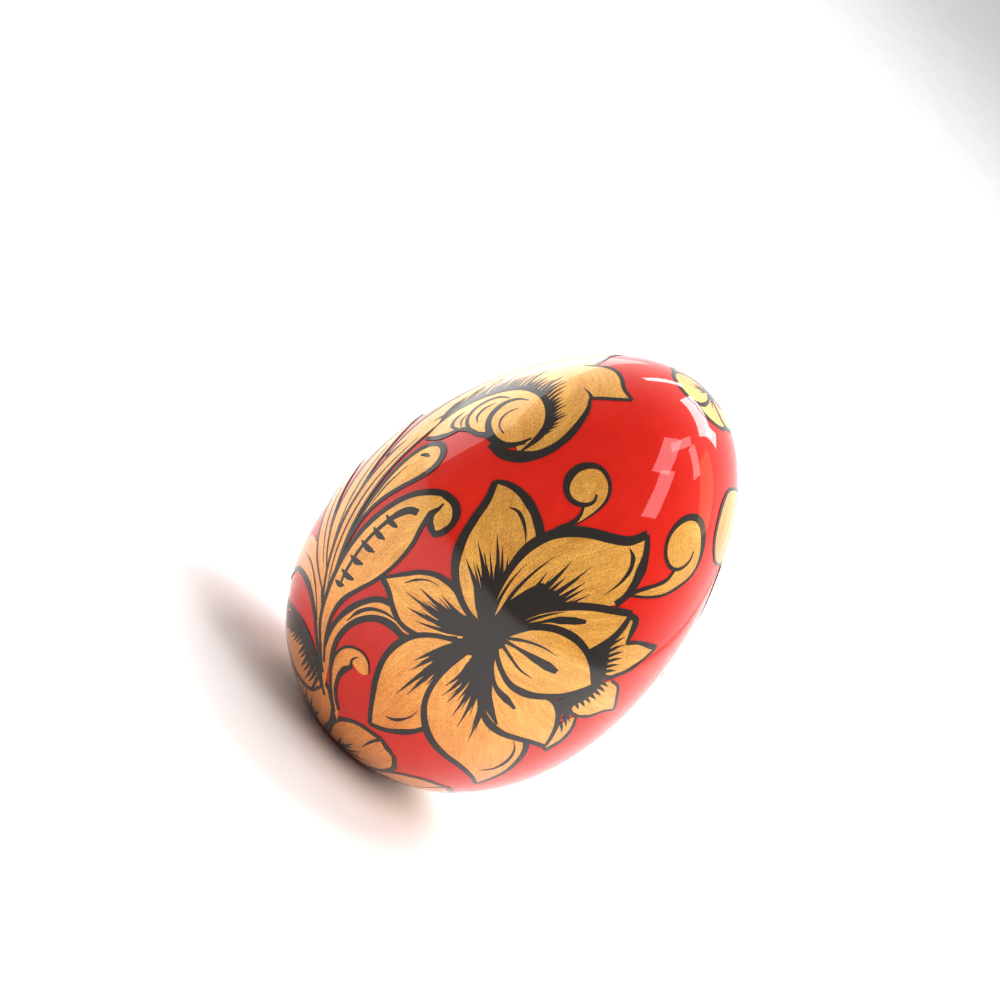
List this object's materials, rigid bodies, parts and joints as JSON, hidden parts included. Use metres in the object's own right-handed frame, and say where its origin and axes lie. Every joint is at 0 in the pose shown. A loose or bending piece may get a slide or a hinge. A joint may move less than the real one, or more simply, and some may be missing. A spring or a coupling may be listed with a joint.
{
  "type": "painted wooden egg",
  "caption": "Turned wooden egg with a red ground, gold flower, leaf and scroll painting with black contours, and clear gloss lacquer, on a small flat foot.",
  "frame": {"origin": "centre of the flat foot at the blunt end", "axes": "+Z along the egg's axis, towards the pointed end; -Y towards the middle of the front painting"},
  "size_m": [0.05, 0.05, 0.0692],
  "materials": {
    "wood": "turned and sanded, bare on the foot",
    "primer": "sanded putty and primer",
    "red_paint": "vermilion red enamel under gloss lacquer",
    "gold_paint": "gold bronze-powder paint with brush grain under gloss lacquer",
    "black_paint": "black brush contours and hatching under gloss lacquer",
    "clear_lacquer": "thick clear gloss lacquer"
  },
  "bodies": {
    "root": {"wood_core": "wood", "primer_coat": "primer", "red_ground_coat": "red_paint", "gold_flower_front": "gold_paint", "gold_flower_back": "gold_paint", "gold_sepals_front": "gold_paint", "gold_sepals_back": "gold_paint", "gold_leaf_front": "gold_paint", "gold_leaf_back": "gold_paint", "gold_stems_front": "gold_paint", "gold_stems_back": "gold_paint", "gold_scroll_front": "gold_paint", "gold_scroll_back": "gold_paint", "gold_spirals_front": "gold_paint", "gold_spirals_back": "gold_paint", "gold_tip_flower": "gold_paint", "gold_base_petals": "gold_paint", "black_flower_front": "black_paint", "black_flower_back": "black_paint", "black_sepals_front": "black_paint", "black_sepals_back": "black_paint", "black_leaf_front": "black_paint", "black_leaf_back": "black_paint", "black_stems_front": "black_paint", "black_stems_back": "black_paint", "black_scroll_front": "black_paint", "black_scroll_back": "black_paint", "black_spirals_front": "black_paint", "black_spirals_back": "black_paint", "black_tip_flower": "black_paint", "black_base_petals": "black_paint", "clear_lacquer_coat": "clear_lacquer"}
  },
  "joints": []
}
